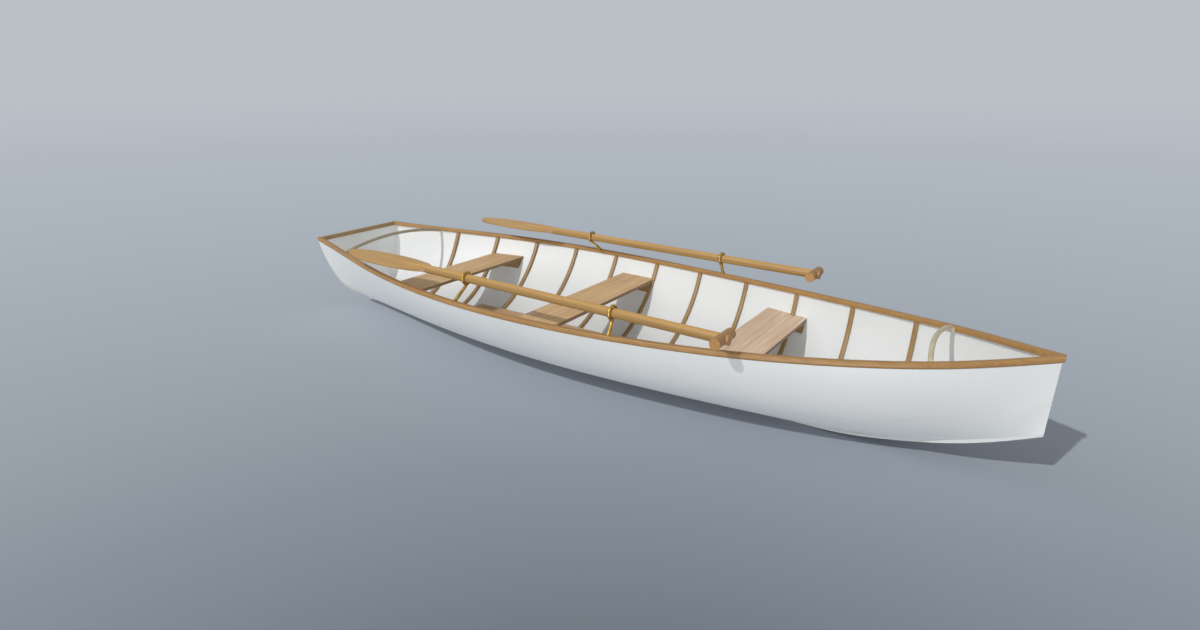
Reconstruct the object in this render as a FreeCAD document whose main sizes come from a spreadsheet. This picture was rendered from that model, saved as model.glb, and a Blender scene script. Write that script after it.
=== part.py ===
"""A round-bilged rowing boat with its two oars shipped through their oarlocks.

Frame: X forward, Y to port, Z up, in millimetres. The origin lies on the centreline at the
middle rib, level with the water that the empty boat floats in.
"""

import FreeCAD, Part
import math
import os

from FreeCAD import Vector

os.makedirs("parts", exist_ok=True)
doc = FreeCAD.newDocument("rowing_boat")


# ---------------------------------------------------------------------------------------------
# Driving dimensions
# ---------------------------------------------------------------------------------------------

DIMENSIONS = [
    # alias, value, what it is
    ("rib_spacing", 320.0, "centre to centre of neighbouring ribs"),
    ("rib_count", 11, "ribs, the middle one over the origin"),
    ("rib_width", 22.0, "rib, along the boat"),
    ("rib_depth", 16.0, "rib, inward from the planking"),
    ("planking", 8.0, "thickness of the hull skin"),
    ("glue_line", 0.4, "space left between bent pieces that are bedded together"),
    ("section_count", 16, "sections that the planking is drawn through, the transom's apart"),
    ("section_lead", 250.0, "first of these sections ahead of the transom"),
    ("stem_x", 2176.0, "face of the stem"),
    ("stem_shoulder", 0.8, "half-width of the stem's face half-way down, as a share of its top"),
    ("transom_x", -2160.0, "outer face of the transom at the gunwale"),
    ("transom_rake", 8.0, "degrees that the transom leans aft"),
    ("transom_thickness", 18.0, "transom board"),
    ("gunwale_width", 30.0, "gunwale, across the boat"),
    ("gunwale_height", 26.0, "gunwale, upright"),
    ("gunwale_round", 8.0, "rounded corners of the gunwale"),
    ("gunwale_lip", 1.0, "how far the gunwale stands out over the planking"),
    ("gunwale_nose", 9.0, "how far the gunwales run past the stem"),
    ("keel_line", -100.0, "underside of the keel below the water"),
    ("keel_width", 28.0, "keel strip"),
    ("keel_depth", 12.0, "keel strip, up the sides of the forefoot"),
    ("keel_bedding", 0.8, "bedding compound between the keel and the bottom"),
    ("keel_rise_x", 1150.0, "where the keel starts to sweep up to the forefoot"),
    ("forefoot_height", 145.0, "foot of the stem over the water"),
    ("thwart_top", 268.0, "top of the thwarts over the water"),
    ("thwart_width", 242.0, "thwart, along the boat"),
    ("thwart_thickness", 20.0, "thwart board"),
    ("bracket_reach", 62.0, "thwart bracket, along the thwart"),
    ("bracket_drop", 54.0, "thwart bracket, down the planking"),
    ("bracket_length", 200.0, "thwart bracket, along the boat"),
    ("bracket_lip", 10.0, "thickness of the bracket at its thin ends"),
    ("bracket_hollow", 0.16, "depth of the bracket's hollow, as a share of its chord"),
    ("bracket_margin", 4.0, "bracket behind the forward edge of its thwart"),
    ("sole_top", -8.0, "top of the bottom boards over the water"),
    ("sole_thickness", 10.0, "bottom board"),
    ("sole_half_width", 218.0, "centreline to the outer edge of the bottom boards"),
    ("sole_aft_x", -1133.0, "aft ends of the bottom boards"),
    ("sole_forward_x", 860.0, "forward ends of the bottom boards"),
    ("sole_gap", 6.0, "slot between two bottom boards"),
    ("sole_boards", 4, "bottom boards side by side"),
    ("bearer_width", 18.0, "floor bearer, along the boat"),
    ("bearer_margin", 8.0, "bearer short of the outer edge of the bottom boards"),
    ("hoop_diameter", 21.0, "bow and stern hoops"),
    ("bow_hoop_x", 1769.0, "feet of the bow hoop"),
    ("bow_hoop_rise", 61.0, "crown of the bow hoop over the line of its feet"),
    ("bow_hoop_tilt", 38.0, "degrees that the bow hoop leans aft"),
    ("bow_hoop_shoulder", 27.0, "small radius at each side of the bow hoop"),
    ("stern_hoop_x", -1750.0, "feet of the stern hoop"),
    ("stern_hoop_rise", 53.0, "crown of the stern hoop over the line of its feet"),
    ("stern_hoop_tilt", 10.0, "degrees that the stern hoop leans aft"),
    ("hoop_inset", 8.0, "ends of the hoops inboard of the middle of the gunwale"),
    ("hoop_foot_drop", 11.0, "feet of the hoops below the middle of the gunwale"),
    ("oar_y", 566.0, "oar, out from the centreline"),
    ("oar_height", 485.0, "middle of the oar over the water"),
    ("oar_radius", 23.0, "oar loom"),
    ("oar_tip_x", -1440.0, "tip of the blade"),
    ("blade_length", 704.0, "oar blade"),
    ("blade_width", 198.0, "oar blade at its widest"),
    ("blade_thickness", 18.0, "oar blade at its thickest"),
    ("blade_edge", 5.0, "edge of the oar blade"),
    ("blade_overlap", 60.0, "full loom that runs on over the blade"),
    ("spine_length", 330.0, "ridge of the loom that fades out along the blade"),
    ("spine_tail", 6.0, "radius of the ridge where it ends inside the blade"),
    ("grip_x", 1024.0, "middle of the crosswise grip"),
    ("grip_length", 151.0, "crosswise grip"),
    ("grip_radius", 25.0, "crosswise grip"),
    ("grip_boss", 6.0, "end of the loom that stands out in front of the grip"),
    ("lock_aft_x", -453.0, "aft pair of oarlocks"),
    ("lock_forward_x", 478.0, "forward pair of oarlocks"),
    ("ring_wire", 7.0, "radius of the oarlock ring's round section"),
    ("ring_clearance", 1.5, "space between the oar and its ring"),
    ("shank_radius_top", 8.0, "oarlock shank under the ring"),
    ("shank_radius_foot", 10.0, "oarlock shank at the gunwale"),
    ("shank_inset", 4.0, "shank inboard of the middle of the gunwale"),
    ("shank_depth", 12.0, "shank let into the gunwale"),
    ("pin_clearance", 0.3, "space round a shank in its hole"),
]

# The lines of the hull, one row for each station from aft to forward. Each half section is two
# arcs that meet smoothly: one leaves the gunwale at the flare angle, the other reaches the
# keel at the deadrise angle.
LINES = [
    # name, x, half_beam, gunwale height, keel height, flare, deadrise
    ("astern", -2400.0, 282.0, 419.0, -52.0, 4.0, 10.5),
    ("quarter", -1920.0, 391.0, 403.0, -70.0, 13.0, 8.0),
    ("after", -1280.0, 566.0, 386.0, -86.0, 21.4, 4.5),
    ("aft_of_middle", -640.0, 668.0, 374.0, -91.0, 23.9, 3.0),
    ("middle", 0.0, 669.5, 370.0, -91.0, 21.4, 3.5),
    ("forward_of_middle", 640.0, 590.0, 378.6, -91.0, 15.0, 8.5),
    ("shoulder", 1120.0, 486.0, 396.5, -90.0, 8.0, 16.0),
    ("bow_quarter", 1520.0, 360.0, 421.0, -64.5, 3.0, 26.0),
    ("entrance", 1840.0, 224.0, 448.5, 12.5, 0.0, 40.0),
    ("hood_ends", 2080.0, 82.0, 474.5, 104.5, 0.0, 60.0),
    ("ending", 2200.0, 5.0, 489.5, 160.5, 0.0, 79.0),
]
LINE_COLUMNS = ("x", "half_beam", "gunwale", "keel", "flare", "deadrise")
# A point of a raked section settles to far below a thousandth of a millimetre in this many tries.
RAKE_TRIES = 8

THWARTS = [
    # name, x of the aft edge
    ("aft", -1283.0),
    ("middle", -239.0),
    ("forward", 802.0),
]

sheet = doc.addObject("Spreadsheet::Sheet", "dimensions")


def put(row, alias, value, note):
    """Write one named number into the sheet."""
    sheet.set("A%d" % row, note)
    sheet.set("B%d" % row, "%g" % value)
    sheet.setAlias("B%d" % row, alias)


row = 1
for alias, value, note in DIMENSIONS:
    put(row, alias, value, note)
    row += 1
for station in LINES:
    for column, value in zip(LINE_COLUMNS, station[1:]):
        put(row, "%s_%s" % (station[0], column), value, "lines: %s, %s" % (station[0], column))
        row += 1
for name, aft_edge in THWARTS:
    put(row, "thwart_%s_x" % name, aft_edge, "aft edge of the %s thwart" % name)
    row += 1
doc.recompute()


def size(alias):
    """Return a number from the sheet."""
    return float(sheet.get(alias))


# ---------------------------------------------------------------------------------------------
# Hull lines
# ---------------------------------------------------------------------------------------------

class Station:
    """The cross-section of the hull at x: two tangent arcs a side."""

    def __init__(self, x):
        self.x = x
        half_beam, gunwale, keel, flare, deadrise = (read_line(column, x)
                                                     for column in LINE_COLUMNS[1:])
        self.gunwale, self.keel = gunwale, keel
        top = Vector(0, half_beam, gunwale)
        bottom = Vector(0, 0, keel)
        down = direction(0, flare)
        inward = direction(1, deadrise)
        span = bottom - top
        # Equal tangent lengths at both ends give the point where the two arcs meet.
        both = span.dot(down + inward)
        curl = 2 * (1 - down.dot(inward))
        reach = (math.sqrt(both ** 2 + curl * span.dot(span)) - both) / curl
        self.joint = (top + down * reach + bottom - inward * reach) * 0.5
        self.side_centre, self.side_radius = self.arc(top, down, self.joint)
        # 1 where the side bulges outward, -1 where it is hollow.
        self.side_turn = 1 if self.side_centre.y < self.joint.y else -1
        self.floor_centre, self.floor_radius = self.arc(bottom, inward * -1, self.joint)

    @staticmethod
    def arc(start, heading, end):
        """Return the centre and radius of the arc that leaves start along heading."""
        chord = end - start
        normal = Vector(0, -heading.z, heading.y)
        if normal.dot(chord) < 0:
            normal = normal * -1
        radius = chord.dot(chord) / (2 * chord.dot(normal))
        return start + normal * radius, radius

    def breadth(self, z, inset):
        """Half-breadth at height z, moved inward by inset."""
        low = z < self.at_joint(inset).z
        centre, radius, turn = ((self.floor_centre, self.floor_radius, 1) if low
                                else (self.side_centre, self.side_radius, self.side_turn))
        return centre.y + turn * math.sqrt((radius - turn * inset) ** 2 - (z - centre.z) ** 2)

    def height(self, y, inset):
        """Height of the bottom arc at half-breadth y, moved inward by inset."""
        centre = self.floor_centre
        return centre.z - math.sqrt((self.floor_radius - inset) ** 2 - (y - centre.y) ** 2)

    def at(self, y, z):
        """A point of this section."""
        return Vector(self.x, y, z)

    def at_top(self, inset):
        """Upper end of the section, under the gunwale."""
        z = self.gunwale - size("gunwale_height") / 2 - size("glue_line")
        return self.at(self.breadth(z, inset), z)

    def at_joint(self, inset):
        """The point where the two arcs meet, moved inward by inset."""
        normal = (self.floor_centre - self.joint).normalize()
        return Vector(self.x, 0, 0) + self.joint + normal * inset

    def at_keel(self, inset):
        """The lowest point, on the centreline."""
        return self.at(0, self.height(0, inset))

    def on_side(self, inset):
        """The middle of the side arc."""
        return self.between(self.at_top(inset), self.at_joint(inset), self.side_centre,
                            self.side_radius - self.side_turn * inset)

    def on_floor(self, inset):
        """The middle of the bottom arc."""
        return self.between(self.at_joint(inset), self.at_keel(inset), self.floor_centre,
                            self.floor_radius - inset)

    def between(self, start, end, centre, radius):
        """The middle of the arc from start to end."""
        hub = Vector(self.x, centre.y, centre.z)
        return hub + ((start + end) * 0.5 - hub).normalize() * radius


def direction(across, degrees):
    """Inward and down: turned from straight down, or from straight across."""
    angle = math.radians(degrees)
    if across:
        return Vector(0, -math.cos(angle), -math.sin(angle))
    return Vector(0, -math.sin(angle), -math.cos(angle))


def curve_of(column):
    """A smooth curve of one column of the lines over x."""
    points = [Vector(size(line[0] + "_x"), size("%s_%s" % (line[0], column)), 0)
              for line in LINES]
    curve = Part.BSplineCurve()
    curve.interpolate(Points=points, Parameters=[p.x for p in points])
    return curve


curves = {column: curve_of(column) for column in LINE_COLUMNS[1:]}


def read_line(column, x):
    """One column of the lines at x."""
    return curves[column].value(x).y


PROFILE = (Station.at_top, Station.on_side, Station.at_joint, Station.on_floor, Station.at_keel)


def upright(x, inset):
    """The five points of the port half section at x, moved inward by inset."""
    station = Station(x)
    return [place(station, inset) for place in PROFILE]


def raked(ahead, inset):
    """The same five points on a plane that leans like the transom, ahead of its outer face."""
    lean = math.tan(math.radians(size("transom_rake")))
    face = size("transom_x") + ahead
    deck = read_line("gunwale", size("transom_x"))
    points = []
    for place in PROFILE:
        x = face
        for _ in range(RAKE_TRIES):
            point = place(Station(x), inset)
            x = face + (deck - point.z) * lean
        points.append(point)
    return points


def flipped(point):
    """The same point on the other side of the centreline."""
    return Vector(point.x, -point.y, point.z)


def arcs(points):
    """Two arcs through five points."""
    return [Part.Arc(points[0], points[1], points[2]).toShape(),
            Part.Arc(points[2], points[3], points[4]).toShape()]


def round_trip(port):
    """Edges from the port gunwale down to the keel and up to the starboard gunwale."""
    return arcs(port) + arcs([flipped(p) for p in reversed(port)])


def full_wire(port):
    """Closed section of a solid hull."""
    return Part.Wire(round_trip(port) + [Part.makeLine(flipped(port[0]), port[0])])


def band_wire(outer, inner):
    """Closed section of a band bent round the hull from gunwale to gunwale."""
    back = [flipped(p) for p in inner]
    edges = round_trip(outer) + [Part.makeLine(flipped(outer[0]), back[0])]
    edges += arcs(back) + arcs(list(reversed(inner)))
    return Part.Wire(edges + [Part.makeLine(inner[0], outer[0])])


def feature(name, shape):
    """Add a shape that no ready-made feature can give."""
    result = doc.addObject("Part::Feature", name)
    result.Shape = shape
    return result


def loft(name, wires, ruled=False):
    """A solid through a row of sections."""
    form = doc.addObject("Part::Loft", name)
    form.Sections = [feature("%s_section_%02d" % (name, i), w) for i, w in enumerate(wires)]
    form.Solid = True
    form.Ruled = ruled
    return form


def operation(kind, name, base, tool):
    """A boolean of two objects: kind is Cut, Common or Fuse."""
    result = doc.addObject("Part::%s" % kind, name)
    result.Base = base
    result.Tool = tool
    return result


def mirrored(name, source):
    """The same piece on the other side of the centreline."""
    result = doc.addObject("Part::Mirroring", name)
    result.Source = source
    result.Base = Vector(0, 0, 0)
    result.Normal = Vector(0, 1, 0)
    return result


def extrude(name, points, drawn):
    """A solid drawn out from a closed line of straight edges."""
    wire = Part.Wire([Part.makeLine(a, b) for a, b in zip(points, points[1:] + points[:1])])
    return feature(name, Part.Face(wire).extrude(drawn))


glue = size("glue_line")
planking = size("planking")
rib_back = planking + glue
rib_face = rib_back + size("rib_depth")
on_ribs = rib_face + glue
stem_face = size("stem_x")
stem_back = size("hood_ends_x")
pieces = {}

rib_middle = (int(size("rib_count")) - 1) / 2
rib_places = [(i - rib_middle) * size("rib_spacing") for i in range(int(size("rib_count")))]


# ---------------------------------------------------------------------------------------------
# Planking, stem, transom and keel
# ---------------------------------------------------------------------------------------------

section_count = int(size("section_count"))
section_start = size("transom_x") + size("section_lead")
section_step = (stem_back - section_start) / (section_count - 1)
section_places = [section_start + i * section_step for i in range(section_count)]
hull_wires = [band_wire(raked(0, 0), raked(0, planking))]
hull_wires += [band_wire(upright(x, 0), upright(x, planking)) for x in section_places]
pieces["hull_shell"] = loft("hull_shell", hull_wires)


def stem_wire():
    """The stem's face: straight-sided, and narrow at its foot."""
    top, _, _, _, foot = upright(stem_face, 0)
    joint = Vector(stem_face, top.y * size("stem_shoulder"), (top.z + foot.z) / 2)
    outline = [top, joint, foot, flipped(joint), flipped(top)]
    return Part.Wire([Part.makeLine(a, b) for a, b in zip(outline, outline[1:] + outline[:1])])


pieces["stem"] = loft("stem", [full_wire(upright(stem_back, 0)), stem_wire()], True)
pieces["transom"] = loft("transom", [full_wire(raked(ahead, rib_back))
                                     for ahead in (0, size("transom_thickness"))], True)

rise_x = size("keel_rise_x")
climb = size("forefoot_height") - size("keel_line")
# The forefoot is an arc that leaves the straight keel smoothly and ends at the stem's foot.
sweep_radius = ((stem_face - rise_x) ** 2 + climb ** 2) / (2 * climb)


def keel_underside(x):
    """Height of the keel's underside at x."""
    past = max(x - rise_x, 0)
    return size("keel_line") + sweep_radius - math.sqrt(sweep_radius ** 2 - past ** 2)


def keel_wire(x):
    """Section of the keel: flat below, fitted to the bottom above."""
    station = Station(x)
    low = keel_underside(x)
    half = min(size("keel_width") / 2, station.breadth(station.keel + size("keel_depth"), 0))
    side = station.height(half, -size("keel_bedding"))
    ridge = station.height(0, -size("keel_bedding"))
    points = [(half, low), (half, side), (0, ridge), (-half, side), (-half, low)]
    points = [Vector(x, y, z) for y, z in points]
    return Part.Wire([Part.makeLine(a, b) for a, b in zip(points, points[1:] + points[:1])])


pieces["keel"] = loft("keel", [keel_wire(x) for x in
                               [raked(0, 0)[-1].x] + section_places + [stem_face]])


# ---------------------------------------------------------------------------------------------
# Ribs
# ---------------------------------------------------------------------------------------------

for number, x in enumerate(rib_places, 1):
    name = "rib_%02d" % number
    edges = (x - size("rib_width") / 2, x + size("rib_width") / 2)
    pieces[name] = loft(name, [band_wire(upright(a, rib_back), upright(a, rib_face))
                               for a in edges], True)


# ---------------------------------------------------------------------------------------------
# Gunwales and the cap of the transom
# ---------------------------------------------------------------------------------------------

def rounded(place, half_width, half_height, radius):
    """A rounded rectangle; place turns its width and height into a point."""
    k = radius * (1 - math.sqrt(0.5))
    bends = []
    for index, (a, b) in enumerate([(1, -1), (1, 1), (-1, 1), (-1, -1)]):
        side = place(a * half_width, b * (half_height - radius))
        flat = place(a * (half_width - radius), b * half_height)
        middle = place(a * (half_width - k), b * (half_height - k))
        bends.append((flat, middle, side) if index % 2 == 0 else (side, middle, flat))
    edges = []
    for index, (first, middle, last) in enumerate(bends):
        edges.append(Part.Arc(first, middle, last).toShape())
        edges.append(Part.makeLine(last, bends[(index + 1) % 4][0]))
    return Part.Wire(edges)


rail_half = size("gunwale_width") / 2
rail_rise = size("gunwale_height") / 2
rail_lean = math.tan(math.radians(size("transom_rake")))


def plan_slope(x):
    """How fast the half-beam changes along the boat."""
    return curves["half_beam"].tangent(x)[0].y / curves["half_beam"].tangent(x)[0].x


def rail_middle(x):
    """Middle of the port gunwale at x."""
    slant = math.hypot(1, plan_slope(x))
    y = read_line("half_beam", x) - (rail_half - size("gunwale_lip")) * slant
    return Vector(x, y, read_line("gunwale", x))


def rail_inside(x):
    """Inner face of the port gunwale at x."""
    return rail_middle(x).y - rail_half * math.hypot(1, plan_slope(x))


def rail_wire(x, lean=0.0):
    """Section of the port gunwale, widened where it runs at an angle."""
    middle = rail_middle(x)
    slant = math.hypot(1, plan_slope(x))
    return rounded(lambda a, b: middle + Vector(-lean * b, a * slant, b), rail_half, rail_rise,
                   size("gunwale_round"))


nose = stem_face + size("gunwale_nose")
rail = loft("rail", [rail_wire(size("transom_x"), rail_lean)]
            + [rail_wire(x) for x in section_places + [stem_face, nose]])
port_side = doc.addObject("Part::Box", "port_side")
port_side.setExpression("Length", "2 * (dimensions.stem_x - dimensions.transom_x)")
port_side.setExpression("Width", "dimensions.stem_x")
port_side.setExpression("Height", "dimensions.stem_x")
port_side.Placement.Base = Vector(2 * size("transom_x"), 0, -stem_face / 2)
rail_port = operation("Common", "rail_port", rail, port_side)

ring_radius = size("oar_radius") + size("ring_clearance") + size("ring_wire")
LOCKS = ("aft", "forward")
lock_x = {end: size("lock_%s_x" % end) for end in LOCKS}
# The oar lies on the bottom of its rings.
ring_z = size("oar_height") + size("ring_clearance") - glue


def shank_line(end):
    """Top of an oarlock's shank and the way from there to the face of the gunwale."""
    top = Vector(lock_x[end], size("oar_y"), ring_z - ring_radius)
    return top, rail_middle(lock_x[end]) + Vector(0, -size("shank_inset"), rail_rise) - top


def rod(name, base, axis, radius, length):
    """A round rod from base along axis; radius is a sheet expression, or two for a taper."""
    kind = "Part::Cone" if isinstance(radius, tuple) else "Part::Cylinder"
    result = doc.addObject(kind, name)
    if isinstance(radius, tuple):
        result.setExpression("Radius1", radius[0])
        result.setExpression("Radius2", radius[1])
    else:
        result.setExpression("Radius", radius)
    if isinstance(length, str):
        result.setExpression("Height", length)
    else:
        result.Height = length
    result.Placement = FreeCAD.Placement(base, FreeCAD.Rotation(Vector(0, 0, 1), axis))
    return result


for end in LOCKS:
    top, way = shank_line(end)
    over = size("gunwale_height")
    hole = rod("shank_hole_" + end, top + way - Vector(way).normalize() * over, way,
               "dimensions.shank_radius_foot + dimensions.pin_clearance",
               over + size("shank_depth") + glue)
    rail_port = operation("Cut", "rail_bored_" + end, rail_port, hole)
pieces["gunwale_port"] = rail_port
pieces["gunwale_starboard"] = mirrored("gunwale_starboard", rail_port)

cap_middle = Vector(size("transom_x") + rail_half - size("gunwale_lip"), 0,
                    read_line("gunwale", size("transom_x")))


def cap_place(side):
    """Points of the end of the cap that meets the gunwale on one side."""
    def place(a, b):
        ahead = a - rail_lean * b
        y = rail_inside(cap_middle.x) + plan_slope(cap_middle.x) * ahead - glue
        return cap_middle + Vector(ahead, side * y, b)
    return place


pieces["transom_cap"] = loft("transom_cap", [
    rounded(cap_place(side), rail_half, rail_rise, size("gunwale_round")) for side in (1, -1)],
    True)


# ---------------------------------------------------------------------------------------------
# Oars and oarlocks
# ---------------------------------------------------------------------------------------------

oar_y = size("oar_y")
oar_z = size("oar_height")
forward = Vector(1, 0, 0)
blade_middle = size("oar_tip_x") + size("blade_length") / 2
blade_root = size("oar_tip_x") + size("blade_length")
grip_at = Vector(size("grip_x"), oar_y, oar_z)
loom_start = Vector(blade_root - size("blade_overlap"), oar_y, oar_z)

outline = doc.addObject("Part::Ellipse", "blade_outline")
outline.setExpression("MajorRadius", "dimensions.blade_length / 2")
outline.setExpression("MinorRadius", "dimensions.blade_width / 2")
outline.Placement.Base = Vector(blade_middle, oar_y, oar_z - size("blade_thickness") / 2)
board = doc.addObject("Part::Extrusion", "blade_board")
board.Base = outline
board.Dir = Vector(0, 0, 1)
board.Solid = True
board.setExpression("LengthFwd", "dimensions.blade_thickness")


def lens(name, ends, drawn):
    """Room for the blade: bulged above and below between two ends, given as (point, half)."""
    (first, thin), (last, thick) = ends
    middle = (first + last) * 0.5
    bulge = Vector(0, 0, size("blade_thickness") / 2)
    low, high = Vector(0, 0, thin), Vector(0, 0, thick)
    return feature(name, Part.Face(Part.Wire([
        Part.Arc(first + low, middle + bulge, last + high).toShape(),
        Part.makeLine(last + high, last - high),
        Part.Arc(last - high, middle - bulge, first - low).toShape(),
        Part.makeLine(first - low, first + low)])).extrude(drawn))


blade_at = Vector(size("oar_tip_x"), oar_y, oar_z)
half_blade = Vector(0, size("blade_width") / 2, 0)
blade_edge = size("blade_edge") / 2
across = lens("blade_crown", [(blade_at - half_blade, blade_edge),
                              (blade_at + half_blade, blade_edge)],
              Vector(size("blade_length"), 0, 0))
blade = operation("Common", "blade", board, across)
loom = rod("loom", loom_start, forward, "dimensions.oar_radius", grip_at.x - loom_start.x)
spine = rod("spine", loom_start, forward * -1,
            ("dimensions.oar_radius", "dimensions.spine_tail"),
            "dimensions.spine_length")
socket = rod("grip_socket", grip_at - Vector(0, size("grip_length"), 0), Vector(0, 1, 0),
             "dimensions.grip_radius + dimensions.glue_line", "2 * dimensions.grip_length")
shaft = operation("Fuse", "shaft", loom, spine)
bladed = operation("Fuse", "bladed", shaft, blade)
pieces["oar_port"] = operation("Cut", "oar_port", bladed, socket)
grip_bar = rod("grip_bar", grip_at - Vector(0, size("grip_length") / 2, 0), Vector(0, 1, 0),
               "dimensions.grip_radius", "dimensions.grip_length")
boss = rod("boss", grip_at, forward, "dimensions.oar_radius",
           "dimensions.grip_radius + dimensions.grip_boss")
pieces["oar_grip_port"] = operation("Fuse", "oar_grip_port", grip_bar, boss)
for name in ("oar", "oar_grip"):
    pieces[name + "_starboard"] = mirrored(name + "_starboard", pieces[name + "_port"])

for end in LOCKS:
    top, way = shank_line(end)
    ring = doc.addObject("Part::Torus", "ring_" + end)
    ring.setExpression("Radius1", "dimensions.oar_radius + dimensions.ring_clearance"
                                  " + dimensions.ring_wire")
    ring.setExpression("Radius2", "dimensions.ring_wire")
    ring.Placement = FreeCAD.Placement(Vector(lock_x[end], oar_y, ring_z),
                                       FreeCAD.Rotation(Vector(0, 0, 1), forward))
    shank = rod("shank_" + end, top, way,
                ("dimensions.shank_radius_top", "dimensions.shank_radius_foot"),
                way.Length + size("shank_depth"))
    lock = operation("Fuse", "oarlock_%s_port" % end, ring, shank)
    pieces["oarlock_%s_port" % end] = lock
    pieces["oarlock_%s_starboard" % end] = mirrored("oarlock_%s_starboard" % end, lock)


# ---------------------------------------------------------------------------------------------
# Thwarts, their brackets and the bottom boards
# ---------------------------------------------------------------------------------------------

def rib_room(x, number, name):
    """The space that a rib takes with its glue line, for notches."""
    half = size("rib_width") / 2 + glue
    return loft("%s_room_%02d" % (name, number),
                [band_wire(upright(a, planking / 2), upright(a, on_ribs))
                 for a in (x - half, x + half)], True)


def fitted(name, blank, low, high):
    """Notch a blank round the ribs that it meets between low and high."""
    for number, x in enumerate(rib_places, 1):
        if low - size("rib_width") / 2 < x < high + size("rib_width") / 2:
            blank = operation("Cut", "%s_notch_%02d" % (name, number), blank,
                              rib_room(x, number, name))
    pieces[name] = blank


def thwart_wire(z, low, high):
    """Outline of a thwart at height z, its ends curved like the planking."""
    ends = [Vector(x, Station(x).breadth(z, rib_back), z)
            for x in (low, (low + high) / 2, high)]
    return Part.Wire([
        Part.Arc(*ends).toShape(),
        Part.makeLine(ends[2], flipped(ends[2])),
        Part.Arc(*[flipped(p) for p in reversed(ends)]).toShape(),
        Part.makeLine(flipped(ends[0]), ends[0])])


def bracket_wire(x, side):
    """Section of a thwart bracket: a corner with a hollowed inner face."""
    station = Station(x)
    top = size("thwart_top") - size("thwart_thickness")
    foot = top - size("bracket_drop")
    lip = size("bracket_lip")
    back = [station.at(station.breadth(z, rib_back), z) for z in (foot, (foot + top) / 2, top)]
    tip = station.at(back[2].y - size("bracket_reach"), top)
    toe = station.at(back[0].y - lip, foot)
    edge = tip - Vector(0, 0, lip)
    chord = toe - edge
    corner_way = Vector(0, -chord.z, chord.y).normalize()
    hollow = (edge + toe) * 0.5 + corner_way * (size("bracket_hollow") * chord.Length)
    toe, edge, tip, hollow = (Vector(p.x, p.y * side, p.z) for p in (toe, edge, tip, hollow))
    back = [Vector(p.x, p.y * side, p.z) for p in back]
    return Part.Wire([
        Part.Arc(*back).toShape(),
        Part.makeLine(back[2], tip),
        Part.makeLine(tip, edge),
        Part.Arc(edge, hollow, toe).toShape(),
        Part.makeLine(toe, back[0])])


for seat, _ in THWARTS:
    low = size("thwart_%s_x" % seat)
    high = low + size("thwart_width")
    under = size("thwart_top") - size("thwart_thickness")
    fitted("thwart_" + seat, loft("thwart_%s_board" % seat, [
        thwart_wire(z, low, high) for z in (under, size("thwart_top"))], True), low, high)
    front = high - size("bracket_margin")
    back = front - size("bracket_length")
    for side_name, side in (("port", 1), ("starboard", -1)):
        name = "bracket_%s_%s" % (seat, side_name)
        fitted(name, loft(name + "_blank", [bracket_wire(x, side) for x in (back, front)],
                          True), back, front)

sole_under = size("sole_top") - size("sole_thickness")
sole_ends = (size("sole_aft_x"), size("sole_forward_x"))
carriers = [x for x in rib_places if sole_ends[0] < x < sole_ends[1]]
sole_places = [sole_ends[0]] + carriers + [sole_ends[1]]


def sole_reach(x):
    """Half-width of the bottom boards at x, where the ribs leave room for it."""
    return min(size("sole_half_width"), Station(x).breadth(sole_under, on_ribs))


sole_edge = [Vector(x, sole_reach(x), sole_under) for x in sole_places]
sole_plan = extrude("sole_plan", sole_edge + [flipped(p) for p in reversed(sole_edge)],
                    Vector(0, 0, size("sole_thickness")))
count = int(size("sole_boards"))
board_width = (2 * size("sole_half_width") - (count - 1) * size("sole_gap")) / count
for i in range(count):
    name = "bottom_board_%d" % (i + 1)
    blank = doc.addObject("Part::Box", name + "_blank")
    blank.setExpression("Length", "dimensions.sole_forward_x - dimensions.sole_aft_x")
    blank.setExpression("Height", "dimensions.sole_thickness")
    blank.Width = board_width
    blank.Placement.Base = Vector(
        sole_ends[0], i * (board_width + size("sole_gap")) - size("sole_half_width"), sole_under)
    pieces[name] = operation("Common", name, blank, sole_plan)


def bearer_wire(x, half):
    """Section of a floor bearer: flat above, fitted to a rib below."""
    station = Station(x)
    bed = [station.at(y, station.height(y, on_ribs)) for y in (half, half / 2, 0)]
    return Part.Wire([
        Part.Arc(*bed).toShape(),
        Part.Arc(*[flipped(p) for p in reversed(bed)]).toShape(),
        Part.makeLine(flipped(bed[0]), station.at(-half, sole_under)),
        Part.makeLine(station.at(-half, sole_under), station.at(half, sole_under)),
        Part.makeLine(station.at(half, sole_under), bed[0])])


for number, x in enumerate(carriers, 1):
    name = "floor_bearer_%d" % number
    edges = (x - size("bearer_width") / 2, x + size("bearer_width") / 2)
    half = min(sole_reach(a) for a in edges) - size("bearer_margin")
    pieces[name] = loft(name, [bearer_wire(a, half) for a in edges], True)


# ---------------------------------------------------------------------------------------------
# Hoops at bow and stern
# ---------------------------------------------------------------------------------------------

def arc_edge(centre, radius, start, end):
    """An arc in the plane of the hoop, between two angles in degrees."""
    return Part.Arc(*[Vector(centre[0] + radius * math.cos(math.radians(a)),
                             centre[1] + radius * math.sin(math.radians(a)), 0)
                      for a in (start, (start + end) / 2, end)]).toShape()


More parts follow.
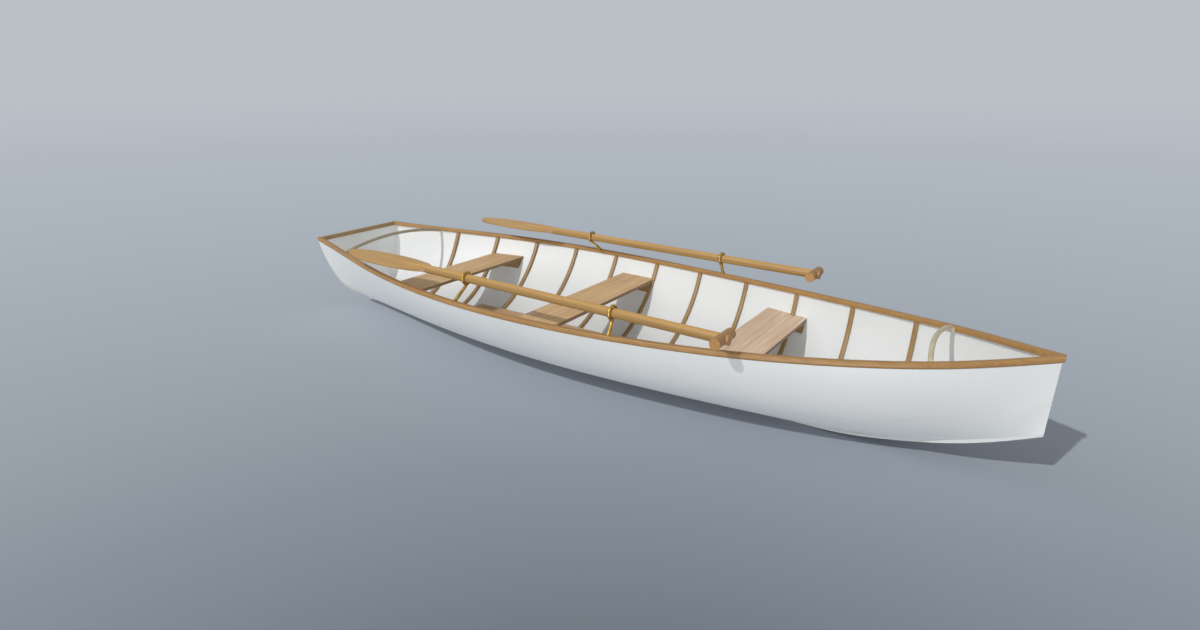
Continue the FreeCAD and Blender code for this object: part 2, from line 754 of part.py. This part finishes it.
def hoop(name, shoulder):
    """A round rod bent over the boat between the gunwales."""
    x, rise, tilt = (size("%s_%s" % (name, part)) for part in ("x", "rise", "tilt"))
    foot = rail_middle(x)
    half = foot.y - size("hoop_inset")
    # The crown is the flat arc that the two shoulder arcs run into.
    run, lift = half - shoulder, rise - shoulder
    crown = (run ** 2 + lift ** 2) / (2 * lift)
    lean = math.degrees(math.atan2(crown - lift, run))
    edges = [arc_edge((0, lift - crown), crown + shoulder, lean, 180 - lean)]
    if shoulder:
        edges = ([arc_edge((run, 0), shoulder, 0, lean)] + edges
                 + [arc_edge((-run, 0), shoulder, 180 - lean, 180)])
    path = Part.Wire(edges)
    start = edges[0].valueAt(edges[0].FirstParameter)
    heading = edges[0].tangentAt(edges[0].FirstParameter)
    disc = Part.Wire([Part.makeCircle(size("hoop_diameter") / 2, start, heading)])
    bent = path.makePipeShell([disc], True, False)
    bent.rotate(Vector(0, 0, 0), Vector(1, 0, 0), 90)
    bent.rotate(Vector(0, 0, 0), Vector(0, 0, 1), 90)
    bent.rotate(Vector(0, 0, 0), Vector(0, 1, 0), -tilt)
    bent.translate(Vector(x, 0, foot.z - size("hoop_foot_drop")))
    reach = 2 * rise
    low = foot.z - size("hoop_foot_drop") - size("hoop_diameter")
    ends = [Vector(a, rail_inside(a) - glue, low) for a in (x - reach, x, x + reach)]
    room = extrude(name + "_room", ends + [flipped(p) for p in reversed(ends)],
                   Vector(0, 0, 3 * reach))
    pieces[name] = operation("Common", name, feature(name + "_rod", bent), room)


hoop("bow_hoop", size("bow_hoop_shoulder"))
hoop("stern_hoop", 0)


# ---------------------------------------------------------------------------------------------
# Check and export
# ---------------------------------------------------------------------------------------------

doc.recompute()
for obj in doc.Objects:
    if "Invalid" in obj.State or "Error" in obj.State:
        raise RuntimeError("%s failed: %s" % (obj.Name, obj.State))
for name, piece in pieces.items():
    piece.Label = name
    shape = piece.Shape
    if shape.isNull() or not shape.isValid() or len(shape.Solids) != 1:
        raise RuntimeError("%s is not one valid solid" % name)
for name, piece in pieces.items():
    piece.Shape.exportStep("parts/%s.step" % name)
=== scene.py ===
"""Dresses a rowing boat: painted planking, varnished timber, brass oarlocks and the oars."""

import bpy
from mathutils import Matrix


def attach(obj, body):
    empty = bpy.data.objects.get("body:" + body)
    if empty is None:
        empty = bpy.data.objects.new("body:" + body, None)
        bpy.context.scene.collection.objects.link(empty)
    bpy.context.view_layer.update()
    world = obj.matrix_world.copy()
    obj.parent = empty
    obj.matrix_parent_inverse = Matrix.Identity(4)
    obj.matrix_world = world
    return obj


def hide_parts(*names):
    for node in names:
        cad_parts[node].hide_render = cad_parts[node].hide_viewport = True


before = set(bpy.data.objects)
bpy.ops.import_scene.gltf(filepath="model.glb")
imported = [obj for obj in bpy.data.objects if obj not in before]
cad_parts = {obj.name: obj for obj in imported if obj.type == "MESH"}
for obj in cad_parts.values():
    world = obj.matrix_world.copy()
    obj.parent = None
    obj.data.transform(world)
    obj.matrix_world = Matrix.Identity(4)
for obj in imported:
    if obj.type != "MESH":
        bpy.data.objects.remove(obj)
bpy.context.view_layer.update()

import logging
import math
from dataclasses import dataclass, field
from enum import Enum
from typing import ClassVar, NamedTuple

import bpy
from mathutils import Matrix, Vector

logging.basicConfig(level=logging.INFO, format="%(levelname)s %(message)s")
log = logging.getLogger("rowing_boat")

Colour = tuple[float, float, float]
Triple = tuple[float, float, float]
Stops = list[tuple[float, Colour]]

BLACK: Colour = (0.0, 0.0, 0.0)
WHITE: Colour = (1.0, 1.0, 1.0)
EVENLY: Triple = (1.0, 1.0, 1.0)

SIDES = ("port", "starboard")
LOCK_ENDS = ("aft", "forward")
SEAT_ENDS = ("aft", "middle", "forward")

# Widths of softened edges, in metres.
FINE_EDGE = 0.0015
SOFT_EDGE = 0.002

# The sockets of a Mix node are told apart by number, because its names repeat.
MIX_FACTOR, MIX_FIRST, MIX_SECOND, MIX_RESULT = 0, 6, 7, 2


def opaque(colour: Colour) -> tuple[float, float, float, float]:
    """Give a colour full alpha.

    Args:
        colour: red, green and blue.

    Returns:
        The colour with its alpha.
    """
    return (*colour, 1.0)


class Grain(Enum):
    """The way that the grain of a timber piece runs, as the stretch of its noise."""

    FORE_AND_AFT = (1.0, 26.0, 26.0)
    ATHWART = (26.0, 1.0, 26.0)
    ROUND_THE_HULL = (26.0, 3.0, 3.0)


class Ripple(NamedTuple):
    """One noise of a texture.

    Attributes:
        scale: how fine it is, in repeats a metre.
        detail: how many finer octaves it has.
        share: its weight where noises are added up.
        distortion: how much it swirls.
    """

    scale: float
    detail: float
    share: float = 1.0
    distortion: float = 0.0


class Value:
    """A number on a shader socket that takes part in Python expressions."""

    def __init__(self, shop: "Shop", socket: bpy.types.NodeSocket) -> None:
        """Wrap a socket.

        Args:
            shop: the material's node maker.
            socket: an output socket that carries a number.
        """
        self.shop = shop
        self.socket = socket

    def __add__(self, other: "float | Value") -> "Value":
        """Sum."""
        return self.shop.math("ADD", self, other)

    def __radd__(self, other: float) -> "Value":
        """Sum with a number on the left."""
        return self.shop.math("ADD", other, self)

    def __mul__(self, other: "float | Value") -> "Value":
        """Product."""
        return self.shop.math("MULTIPLY", self, other)

    def __rmul__(self, other: float) -> "Value":
        """Product with a number on the left."""
        return self.shop.math("MULTIPLY", other, self)

    def __rtruediv__(self, other: float) -> "Value":
        """Quotient with a number above."""
        return self.shop.math("DIVIDE", other, self)


class Shop:
    """Makes the nodes of one material or of the world."""

    def __init__(self, owner: bpy.types.Material | bpy.types.World) -> None:
        """Start with no nodes.

        Args:
            owner: what the nodes belong to.
        """
        self.owner = owner
        owner.use_nodes = True
        self.tree = owner.node_tree
        self.tree.nodes.clear()

    def node(self, kind: str, settings: dict[str, object] | None = None,
             inputs: dict[int | str, object] | None = None) -> bpy.types.Node:
        """Add a node.

        Args:
            kind: the node's type.
            settings: its properties; "stops" fills a colour ramp.
            inputs: numbers, Values or sockets for its inputs, by index or name.

        Returns:
            The node.
        """
        made = self.tree.nodes.new(kind)
        for key, setting in (settings or {}).items():
            if key == "stops":
                self.fill_ramp(made.color_ramp, setting)
            else:
                setattr(made, key, setting)
        for key, given in (inputs or {}).items():
            if isinstance(given, Value):
                self.tree.links.new(given.socket, made.inputs[key])
            elif isinstance(given, bpy.types.NodeSocket):
                self.tree.links.new(given, made.inputs[key])
            else:
                made.inputs[key].default_value = given
        return made

    @staticmethod
    def fill_ramp(ramp: bpy.types.ColorRamp, stops: Stops) -> None:
        """Set the stops of a colour ramp.

        Args:
            ramp: the ramp.
            stops: place and colour of each stop.
        """
        while len(ramp.elements) < len(stops):
            ramp.elements.new(1.0)
        for element, (place, colour) in zip(ramp.elements, stops):
            element.position = place
            element.color = opaque(colour)

    def value(self, kind: str, settings: dict[str, object], inputs: dict[int | str, object],
              output: int | str = 0) -> Value:
        """Add a node and wrap one of its outputs.

        Args:
            kind: the node's type.
            settings: its properties.
            inputs: what its inputs are given, by index or name.
            output: the output that carries the number, by index or name.

        Returns:
            The output.
        """
        return Value(self, self.node(kind, settings, inputs).outputs[output])

    def math(self, operation: str, first: "float | Value", second: "float | Value") -> Value:
        """Work out a number from two numbers.

        Args:
            operation: what the Math node does.
            first: the number that comes first.
            second: the number that comes second.

        Returns:
            The result.
        """
        return self.value("ShaderNodeMath", {"operation": operation}, {0: first, 1: second})

    def measure(self, operation: str, point: bpy.types.NodeSocket, other: Triple) -> Value:
        """Work out a number from two vectors.

        Args:
            operation: what the Vector Math node does.
            point: the vector that varies.
            other: the vector that doesn't.

        Returns:
            The result.
        """
        return self.value("ShaderNodeVectorMath", {"operation": operation},
                          {0: point, 1: other}, "Value")

    def place(self, stretch: Triple = EVENLY) -> bpy.types.NodeSocket:
        """Find the point on the object.

        Args:
            stretch: what its coordinates, in metres, are multiplied by.

        Returns:
            The stretched point.
        """
        at = self.node("ShaderNodeTexCoord").outputs["Object"]
        return self.node("ShaderNodeMapping", {}, {"Vector": at, "Scale": stretch}).outputs[0]

    def upward(self) -> Value:
        """Tell how far the surface looks up: 1 on top, 0 on a side, below 0 underneath."""
        normal = self.node("ShaderNodeTexCoord").outputs["Normal"]
        return self.value("ShaderNodeSeparateXYZ", {}, {0: normal}, "Z")

    def noise(self, ripple: Ripple, stretch: Triple = EVENLY) -> Value:
        """Add a noise.

        Args:
            ripple: its scale, detail and distortion.
            stretch: what the point's coordinates are multiplied by.

        Returns:
            The noise, between 0 and 1.
        """
        return self.value("ShaderNodeTexNoise", {}, {
            "Vector": self.place(stretch), "Scale": ripple.scale, "Detail": ripple.detail,
            "Distortion": ripple.distortion}, "Fac")

    def ramp(self, factor: Value, stops: Stops) -> bpy.types.NodeSocket:
        """Look a number up in a colour ramp.

        Args:
            factor: the number.
            stops: place and colour of each stop.

        Returns:
            The colour.
        """
        return self.node("ShaderNodeValToRGB", {"stops": stops}, {0: factor}).outputs["Color"]

    def mix(self, blend: str, factor: "Value | bpy.types.NodeSocket",
            first: bpy.types.NodeSocket, second: Colour) -> bpy.types.NodeSocket:
        """Blend a plain colour into another colour.

        Args:
            blend: the way that they blend.
            factor: how much of the plain colour takes part.
            first: the other colour.
            second: the plain colour.

        Returns:
            The blended colour.
        """
        made = self.node("ShaderNodeMix", {"data_type": "RGBA", "blend_type": blend}, {
            MIX_FACTOR: factor, MIX_FIRST: first, MIX_SECOND: opaque(second)})
        return made.outputs[MIX_RESULT]

    def bump(self, height: Value, distance: float, strength: float) -> bpy.types.NodeSocket:
        """Raise the surface's normal.

        Args:
            height: how high each point is, between 0 and 1.
            distance: the height in metres that 1 stands for.
            strength: the share of it that shows.

        Returns:
            The normal.
        """
        return self.node("ShaderNodeBump", {}, {
            "Strength": strength, "Distance": distance, "Height": height}).outputs[0]

    def either(self, factor: "Value | bpy.types.NodeSocket", first: bpy.types.Node,
               second: bpy.types.Node) -> bpy.types.NodeSocket:
        """Mix two shaders.

        Args:
            factor: 0 for the first shader and 1 for the second.
            first: the first shader.
            second: the second shader.

        Returns:
            The mixed shader.
        """
        return self.node("ShaderNodeMixShader", {}, {
            0: factor, 1: first.outputs[0], 2: second.outputs[0]}).outputs[0]

    def surface(self, **sockets: object) -> bpy.types.Material:
        """Finish with a Principled BSDF.

        Args:
            **sockets: its sockets, with underscores for spaces.

        Returns:
            The material.
        """
        inputs = {name.replace("_", " "): given for name, given in sockets.items()}
        body = self.node("ShaderNodeBsdfPrincipled", {}, inputs)
        self.node("ShaderNodeOutputMaterial", {}, {"Surface": body.outputs[0]})
        return self.owner


@dataclass(frozen=True)
class Paint:
    """Brushed gloss paint over smooth planking.

    Attributes:
        name: the material's name.
        colour: the fresh paint.
        faded: the paint where it has worn a little.
    """

    name: str
    colour: Colour
    faded: Colour

    patches: ClassVar[Ripple] = Ripple(scale=2.2, detail=4.0, share=0.75)
    brushing: ClassVar[Ripple] = Ripple(scale=90.0, detail=2.0, share=0.25)
    brush_stretch: ClassVar[Triple] = (0.25, 1.0, 1.0)
    faded_below: ClassVar[float] = 0.35
    fresh_above: ClassVar[float] = 0.62
    smoothest: ClassVar[float] = 0.34
    roughening: ClassVar[float] = 0.14
    brush_depth: ClassVar[float] = 0.0002

    def make(self) -> bpy.types.Material:
        """Build the material."""
        shop = Shop(bpy.data.materials.new(self.name))
        patches = shop.noise(self.patches)
        brushing = shop.noise(self.brushing, self.brush_stretch)
        wear = patches * self.patches.share + brushing * self.brushing.share
        colour = shop.ramp(wear, [(self.faded_below, self.faded),
                                  (self.fresh_above, self.colour)])
        return shop.surface(Base_Color=colour,
                            Roughness=self.smoothest + self.roughening * patches,
                            Normal=shop.bump(brushing, self.brush_depth, strength=0.5),
                            Coat_Weight=0.12, Coat_Roughness=0.25)


@dataclass(frozen=True)
class Timber:
    """Planed wood under varnish or oil.

    Attributes:
        name: the material's name.
        dark: the darker tone of the grain.
        light: the lighter tone of the grain.
        grain: the way that the grain runs.
        contrast: how hard the change between the tones is, from 0 to 1.
        roughness: that of the smoothest places.
        painted_side_shade: painted shade on the faces that don't look up, their tone as a
            share of the top's.
    """

    name: str
    dark: Colour
    light: Colour
    grain: Grain
    contrast: float = 0.5
    roughness: float = 0.45
    painted_side_shade: float = 1.0

    bands: ClassVar[Ripple] = Ripple(scale=2.4, detail=3.0, share=0.55, distortion=0.35)
    lines: ClassVar[Ripple] = Ripple(scale=11.0, detail=4.0, share=0.35)
    pores: ClassVar[Ripple] = Ripple(scale=60.0, detail=1.0, share=0.10)
    middle: ClassVar[float] = 0.5
    soft_spread: ClassVar[float] = 0.22
    narrowing: ClassVar[float] = 0.6
    # Bounds of the painted side shade, by how far a face looks up.
    side_below: ClassVar[float] = 0.45
    top_above: ClassVar[float] = 0.95
    roughening: ClassVar[float] = 0.15
    grain_depth: ClassVar[float] = 0.0004

    def make(self) -> bpy.types.Material:
        """Build the material."""
        shop = Shop(bpy.data.materials.new(self.name))
        stretch = self.grain.value
        bands = shop.noise(self.bands, stretch)
        lines = shop.noise(self.lines, stretch)
        pores = shop.noise(self.pores, stretch)
        figure = (bands * self.bands.share + lines * self.lines.share
                  + pores * self.pores.share)
        spread = self.soft_spread * (1.0 - self.narrowing * self.contrast)
        colour = shop.ramp(figure, [(self.middle - spread, self.dark),
                                    (self.middle + spread, self.light)])
        # Painted shade: faces that don't look up are darkened, as if turned away from the
        # light.
        if self.painted_side_shade < 1.0:
            side_shade_mask = shop.ramp(shop.upward(), [(self.side_below, WHITE),
                                              (self.top_above, BLACK)])
            colour = shop.mix("MULTIPLY", side_shade_mask, colour, (self.painted_side_shade, self.painted_side_shade, self.painted_side_shade))
        return shop.surface(Base_Color=colour,
                            Roughness=self.roughness + self.roughening * lines,
                            Normal=shop.bump(figure, self.grain_depth, strength=0.35),
                            Coat_Weight=0.1, Coat_Roughness=0.3)


@dataclass(frozen=True)
class Brass:
    """Cast brass, rubbed bright where it is handled.

    Attributes:
        name: the material's name.
        dull: the tarnished metal.
        bright: the rubbed metal.
    """

    name: str
    dull: Colour
    bright: Colour

    tarnish: ClassVar[Ripple] = Ripple(scale=38.0, detail=4.0)
    dull_below: ClassVar[float] = 0.4
    bright_above: ClassVar[float] = 0.6
    smoothest: ClassVar[float] = 0.3
    roughening: ClassVar[float] = 0.2
    casting_depth: ClassVar[float] = 0.0002

    def make(self) -> bpy.types.Material:
        """Build the material."""
        shop = Shop(bpy.data.materials.new(self.name))
        tarnish = shop.noise(self.tarnish)
        colour = shop.ramp(tarnish, [(self.dull_below, self.dull),
                                     (self.bright_above, self.bright)])
        return shop.surface(Base_Color=colour, Metallic=0.9,
                            Roughness=self.smoothest + self.roughening * tarnish,
                            Normal=shop.bump(tarnish, self.casting_depth, strength=0.3))


Recipe = Paint | Timber | Brass


@dataclass
class Dresser:
    """Gives the solids their finishes, on soft-edged copies where edges show.

    Attributes:
        finishes: the materials that are made so far, by name.
    """

    finishes: dict[str, bpy.types.Material] = field(default_factory=dict)

    weld: ClassVar[float] = 0.00002
    bevel_segments: ClassVar[int] = 2
    sharp_angle: ClassVar[float] = math.radians(30.0)

    def finish(self, recipe: Recipe) -> bpy.types.Material:
        """Find a material, and make it the first time.

        Args:
            recipe: its recipe.

        Returns:
            The material.
        """
        if recipe.name not in self.finishes:
            self.finishes[recipe.name] = recipe.make()
        return self.finishes[recipe.name]

    def coat(self, node: str, recipe: Recipe) -> None:
        """Give a solid a finish and leave its shape.

        Args:
            node: the solid's name.
            recipe: its finish.
        """
        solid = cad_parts[node]
        solid.data.materials.clear()
        solid.data.materials.append(self.finish(recipe))
        log.info("coated %s in %s", node, recipe.name)

    def dress(self, node: str, recipe: Recipe, body: str, edge: float) -> None:
        """Copy a solid, weld it, soften its edges and give it a finish.

        Args:
            node: the solid's name.
            recipe: its finish.
            body: the body that it rides on.
            edge: width of the softened edges in metres.
        """
        bpy.ops.object.select_all(action="DESELECT")
        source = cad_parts[node]
        piece = bpy.data.objects.new(node + "_dressed", source.data.copy())
        bpy.context.scene.collection.objects.link(piece)
        bpy.context.view_layer.objects.active = piece
        piece.select_set(True)
        bpy.ops.object.mode_set(mode="EDIT")
        bpy.ops.mesh.select_all(action="SELECT")
        bpy.ops.mesh.remove_doubles(threshold=self.weld)
        bpy.ops.object.mode_set(mode="OBJECT")
        bevel = piece.modifiers.new("soft_edges", "BEVEL")
        bevel.width = edge
        bevel.segments = self.bevel_segments
        bevel.limit_method = "ANGLE"
        bevel.angle_limit = self.sharp_angle
        bevel.use_clamp_overlap = True
        bpy.ops.object.modifier_apply(modifier=bevel.name)
        bpy.ops.object.shade_smooth_by_angle(angle=self.sharp_angle)
        piece.data.materials.clear()
        piece.data.materials.append(self.finish(recipe))
        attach(piece, body)
        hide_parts(node)
        log.info("dressed %s in %s", node, recipe.name)


HULL_PAINT = Paint("hull_paint", colour=(0.64, 0.65, 0.641), faded=(0.612, 0.625, 0.62))
# Painted shade: the keel is the hull's white darkened, to stand for the shade under the hull.
SHADED_KEEL_PAINT = Paint("keel_paint_painted_shade", colour=(0.52, 0.535, 0.53), faded=(0.50, 0.515, 0.515))
# Painted light: the transom is painted paler than the planking, to stand for light on its
# inner face, which sits in shade.
LIT_TRANSOM_PAINT = Paint("transom_paint_painted_light", colour=(0.81, 0.84, 0.83), faded=(0.78, 0.81, 0.80))
# Timbers given a side tone under 1 carry painted shade on their faces that don't look up.
VARNISHED_ALONG = Timber("varnished_along", dark=(0.32, 0.16, 0.045),
                         light=(0.43, 0.24, 0.078), grain=Grain.FORE_AND_AFT, painted_side_shade=0.85)
VARNISHED_RIB = Timber("varnished_rib", dark=(0.225, 0.128, 0.045),
                       light=(0.315, 0.197, 0.076), grain=Grain.ROUND_THE_HULL)
VARNISHED_ATHWART = Timber("varnished_athwart", dark=(0.28, 0.17, 0.07),
                           light=(0.39, 0.26, 0.12), grain=Grain.ATHWART)
VARNISHED_OAR = Timber("varnished_oar", dark=(0.49, 0.265, 0.075),
                       light=(0.62, 0.365, 0.112), grain=Grain.FORE_AND_AFT, painted_side_shade=0.55)
VARNISHED_GRIP = Timber("varnished_grip", dark=(0.315, 0.16, 0.05),
                        light=(0.40, 0.213, 0.072), grain=Grain.ATHWART)
SEAT_OIL = Timber("seat_oil", dark=(0.54, 0.325, 0.15), light=(0.73, 0.49, 0.25),
                  grain=Grain.ATHWART, contrast=0.75, roughness=0.6, painted_side_shade=0.36)
PALE_SEAT = Timber("pale_seat", dark=(0.61, 0.415, 0.27), light=(0.78, 0.59, 0.425),
                   grain=Grain.ATHWART, contrast=0.75, roughness=0.6, painted_side_shade=0.3)
BRACKET_OIL = Timber("bracket_oil", dark=(0.38, 0.21, 0.075), light=(0.53, 0.32, 0.13),
                     grain=Grain.ATHWART, painted_side_shade=0.42)
SOLE_OIL = Timber("sole_oil", dark=(0.44, 0.27, 0.14), light=(0.60, 0.40, 0.23),
                  grain=Grain.FORE_AND_AFT, contrast=0.75, roughness=0.65)
PALE_BEND = Timber("pale_bend", dark=(0.47, 0.40, 0.27), light=(0.66, 0.57, 0.42),
                   grain=Grain.ATHWART, contrast=0.4, roughness=0.6)
# Painted shade: the same wood as the pale bend, darkened because the stern hoop is seen on its
# shaded side.
SHADED_BEND = Timber("bend_painted_shade", dark=(0.31, 0.26, 0.175), light=(0.43, 0.37, 0.27),
                   grain=Grain.ATHWART, contrast=0.4, roughness=0.6)
OARLOCK_BRASS = Brass("oarlock_brass", dull=(0.42, 0.25, 0.05), bright=(0.62, 0.40, 0.11))


@dataclass
class Hull:
    """Planking, keel, stem, transom and ribs.

    Attributes:
        ribs: how many ribs there are.
    """

    ribs: int = 11

    def build(self, dresser: Dresser) -> None:
        """Dress the shell and its framing.

        Args:
            dresser: what gives the finishes.
        """
        dresser.coat("hull_shell", HULL_PAINT)
        dresser.coat("stem", HULL_PAINT)
        dresser.coat("keel", SHADED_KEEL_PAINT)
        dresser.coat("transom", LIT_TRANSOM_PAINT)
        for number in range(1, self.ribs + 1):
            dresser.dress(f"rib_{number:02d}", VARNISHED_RIB, "hull",
                          SOFT_EDGE)


@dataclass
class Rails:
    """Gunwales, the transom's cap and the two hoops."""

    def build(self, dresser: Dresser) -> None:
        """Dress the rails.

        Args:
            dresser: what gives the finishes.
        """
        for side in SIDES:
            dresser.coat(f"gunwale_{side}", VARNISHED_ALONG)
        dresser.coat("transom_cap", VARNISHED_ATHWART)
        dresser.coat("bow_hoop", PALE_BEND)
        # The stern hoop gets the darkened copy of the bend wood, as painted shade.
        dresser.coat("stern_hoop", SHADED_BEND)


@dataclass
class Furniture:
    """Thwarts, their brackets and the bottom boards.

    Attributes:
        boards: how many bottom boards there are.
        bearers: how many bearers carry them.
    """

    boards: int = 4
    bearers: int = 6

    def build(self, dresser: Dresser) -> None:
        """Dress what the crew sits and stands on.

        Args:
            dresser: what gives the finishes.
        """
        for end in SEAT_ENDS:
            seat = PALE_SEAT if end == "forward" else SEAT_OIL
            dresser.dress(f"thwart_{end}", seat, "hull", SOFT_EDGE)
            for side in SIDES:
                dresser.dress(f"bracket_{end}_{side}", BRACKET_OIL, "hull",
                              FINE_EDGE)
        for number in range(1, self.boards + 1):
            dresser.dress(f"bottom_board_{number}", SOLE_OIL, "hull", FINE_EDGE)
        for number in range(1, self.bearers + 1):
            dresser.coat(f"floor_bearer_{number}", VARNISHED_ATHWART)


@dataclass
class Oars:
    """The two oars and the four oarlocks that they lie in."""

    def build(self, dresser: Dresser) -> None:
        """Dress the oars and their locks.

        Args:
            dresser: what gives the finishes.
        """
        for side in SIDES:
            dresser.coat(f"oar_{side}", VARNISHED_OAR)
            dresser.coat(f"oar_grip_{side}", VARNISHED_GRIP)
            for end in LOCK_ENDS:
                dresser.coat(f"oarlock_{end}_{side}", OARLOCK_BRASS)


@dataclass(frozen=True)
class Lamp:
    """A distant lamp.

    Attributes:
        name: the lamp's name.
        energy: its strength.
        travel: the way that its light travels.
        shadows: whether it casts shadows.
        spread: how wide it looks, in degrees, which softens its shadows.
    """

    name: str
    energy: float
    travel: Triple
    shadows: bool = True
    spread: float = 1.2

    def hang(self) -> None:
        """Add the lamp."""
        data = bpy.data.lights.new(self.name, "SUN")
        data.energy = self.energy
        data.angle = math.radians(self.spread)
        data.use_shadow = self.shadows
        lamp = bpy.data.objects.new(self.name, data)
        lamp.rotation_euler = Vector(self.travel).to_track_quat("-Z", "Y").to_euler()
        bpy.context.scene.collection.objects.link(lamp)


@dataclass
class Studio:
    """Floor, lamps, background and camera. Lengths are in metres and angles in degrees.

    Attributes:
        floor_height: the floor, just under the keel.
        floor_radius: how far the floor runs.
        floor_sides: corners of its outline.
        eye: where the camera stands.
        heading: the way that it looks, turned from +Y towards +X.
        dip: how far it looks down.
        lens: its focal length, in millimetres.
        sensor: width of its film, in millimetres.
        sight: how far it sees.
        lamps: the key casts the shadows, and the fill stands in for a pale room's walls.
        ambient: strength of the light that comes from all round.
        room_hue: colour of that light.
        sky: colour of the background.
        lit: brightness of a white floor in the open, which the floor's tones are divided by.
        shade: painted shade, the floor's tone at each distance from the point under the eye.
        horizon: nearness at which the floor has become background, and where it starts to.
        behind_start: where the shade starts to fade, ahead of the eye.
        behind_fade: how far it takes to fade, going back from there.
        behind_tone: tone that the floor has behind the eye.
    """

    floor_height: float = -0.1005
    floor_radius: float = 400.0
    floor_sides: int = 96
    eye: Vector = field(default_factory=lambda: Vector((2.0931, -2.9559, 1.5283)))
    heading: float = -35.183
    dip: float = 20.079
    lens: float = 20.266
    sensor: float = 36.0
    sight: float = 1000.0
    lamps: tuple[Lamp, ...] = (Lamp("key", 1.8, (0.288, 1.099, -1.0)),
                               Lamp("fill", 1.5, (-0.4, 1.0, 0.28), shadows=False))
    ambient: float = 0.47
    room_hue: Colour = (0.965, 0.985, 1.0)
    sky: Colour = (0.497, 0.530, 0.569)
    lit: float = 0.845
    shade: tuple[tuple[float, Colour], ...] = (
        (1.66, (0.178, 0.202, 0.238)),
        (2.05, (0.220, 0.246, 0.287)),
        (2.4, (0.246, 0.275, 0.319)),
        (2.6, (0.258, 0.287, 0.332)),
        (2.87, (0.279, 0.309, 0.356)),
        (3.5, (0.314, 0.347, 0.392)),
        (4.55, (0.352, 0.386, 0.429)),
        (6.3, (0.386, 0.423, 0.468)),
        (9.8, (0.423, 0.462, 0.509)),
        (13.5, (0.440, 0.479, 0.527)),
        (21.0, (0.468, 0.491, 0.546)),
        (48.0, (0.485, 0.515, 0.552)))
    horizon: tuple[float, float] = (0.02, 0.09)
    behind_start: float = 1.6
    behind_fade: float = 2.2
    behind_tone: Colour = (0.42, 0.46, 0.51)

    def build(self) -> None:
        """Set the stage."""
        self.floor()
        self.light()
        self.camera()

    def floor(self) -> None:
        """Lay a wide floor that fades into the background."""
        bpy.ops.object.select_all(action="DESELECT")
        bpy.ops.mesh.primitive_circle_add(vertices=self.floor_sides, radius=self.floor_radius,
                                          fill_type="NGON", location=(0, 0, self.floor_height))
        floor = bpy.context.object
        floor.name = "studio_floor"
        shop = Shop(bpy.data.materials.new("studio_floor"))
        away = shop.measure("DISTANCE", shop.place(), (self.eye.x, self.eye.y, 0.0))
        # One over the distance turns even steps of the ramp into a fade that never quite ends.
        core = self.shade[0][0]
        nearness = core / shop.math("MAXIMUM", away, core)
        # Painted shade: the floor is darkest near the point under the eye and pales outward.
        tone = shop.ramp(nearness, [(core / distance, tuple(part / self.lit for part in hue))
                                    for distance, hue in reversed(self.shade)])
        # Behind the eye the painted shade is lifted to a plain tone.
        tone = shop.mix("LIGHTEN", self.behind(shop), tone, self.behind_tone)
        shaded = shop.node("ShaderNodeBsdfDiffuse", {}, {"Color": tone})
        glow = shop.node("ShaderNodeEmission", {}, {"Color": opaque(self.sky)})
        gone, going = self.horizon
        far = shop.ramp(nearness, [(gone, WHITE), (going, BLACK)])
        shop.node("ShaderNodeOutputMaterial", {}, {"Surface": shop.either(far, shaded, glow)})
        floor.data.materials.append(shop.owner)

    def behind(self, shop: Shop) -> Value:
        """Tell the floor behind the eye from the floor ahead of it.

        Args:
            shop: the floor's node maker.

        Returns:
            0 where the floor lies ahead of the eye, rising to 1 behind it.
        """
        turn = math.radians(self.heading)
        gaze = Vector((math.sin(turn), math.cos(turn), 0.0))
        depth = shop.measure("DOT_PRODUCT", shop.place(), tuple(gaze))
        start = self.eye.dot(gaze) + self.behind_start
        return shop.value("ShaderNodeMapRange", {"interpolation_type": "SMOOTHSTEP"}, {
            "Value": depth, "From Min": start - self.behind_fade, "From Max": start,
            "To Min": 1.0, "To Max": 0.0})

    def light(self) -> None:
        """Hang the lamps and light the room."""
        for lamp in self.lamps:
            lamp.hang()
        bpy.context.scene.world = bpy.data.worlds.new("sky")
        shop = Shop(bpy.context.scene.world)
        room = shop.node("ShaderNodeBackground", {}, {
            "Color": opaque(self.room_hue), "Strength": self.ambient})
        backdrop = shop.node("ShaderNodeBackground", {}, {"Color": opaque(self.sky)})
        seen = shop.value("ShaderNodeLightPath", {}, {}, "Is Camera Ray")
        mirrored = shop.value("ShaderNodeLightPath", {}, {}, "Is Glossy Ray")
        shown = shop.math("MAXIMUM", seen, mirrored)
        shop.node("ShaderNodeOutputWorld", {}, {"Surface": shop.either(shown, room, backdrop)})

    def camera(self) -> None:
        """Stand a camera off the starboard bow, looking aft and down."""
        data = bpy.data.cameras.new("camera")
        data.lens = self.lens
        data.sensor_width = self.sensor
        data.clip_end = self.sight
        camera = bpy.data.objects.new("camera", data)
        bpy.context.scene.collection.objects.link(camera)
        yaw, dip = math.radians(self.heading), math.radians(self.dip)
        look = Vector((math.sin(yaw) * math.cos(dip), math.cos(yaw) * math.cos(dip),
                       -math.sin(dip)))
        turn = look.to_track_quat("-Z", "Y").to_matrix().to_4x4()
        camera.matrix_world = Matrix.Translation(self.eye) @ turn
        bpy.context.scene.camera = camera


def main() -> None:
    """Build the sub-assemblies in order and set the stage."""
    dresser = Dresser()
    for assembly in (Hull(), Rails(), Furniture(), Oars()):
        assembly.build(dresser)
    Studio().build()
    bpy.context.scene.view_settings.view_transform = "Standard"


if __name__ == "__main__":
    main()
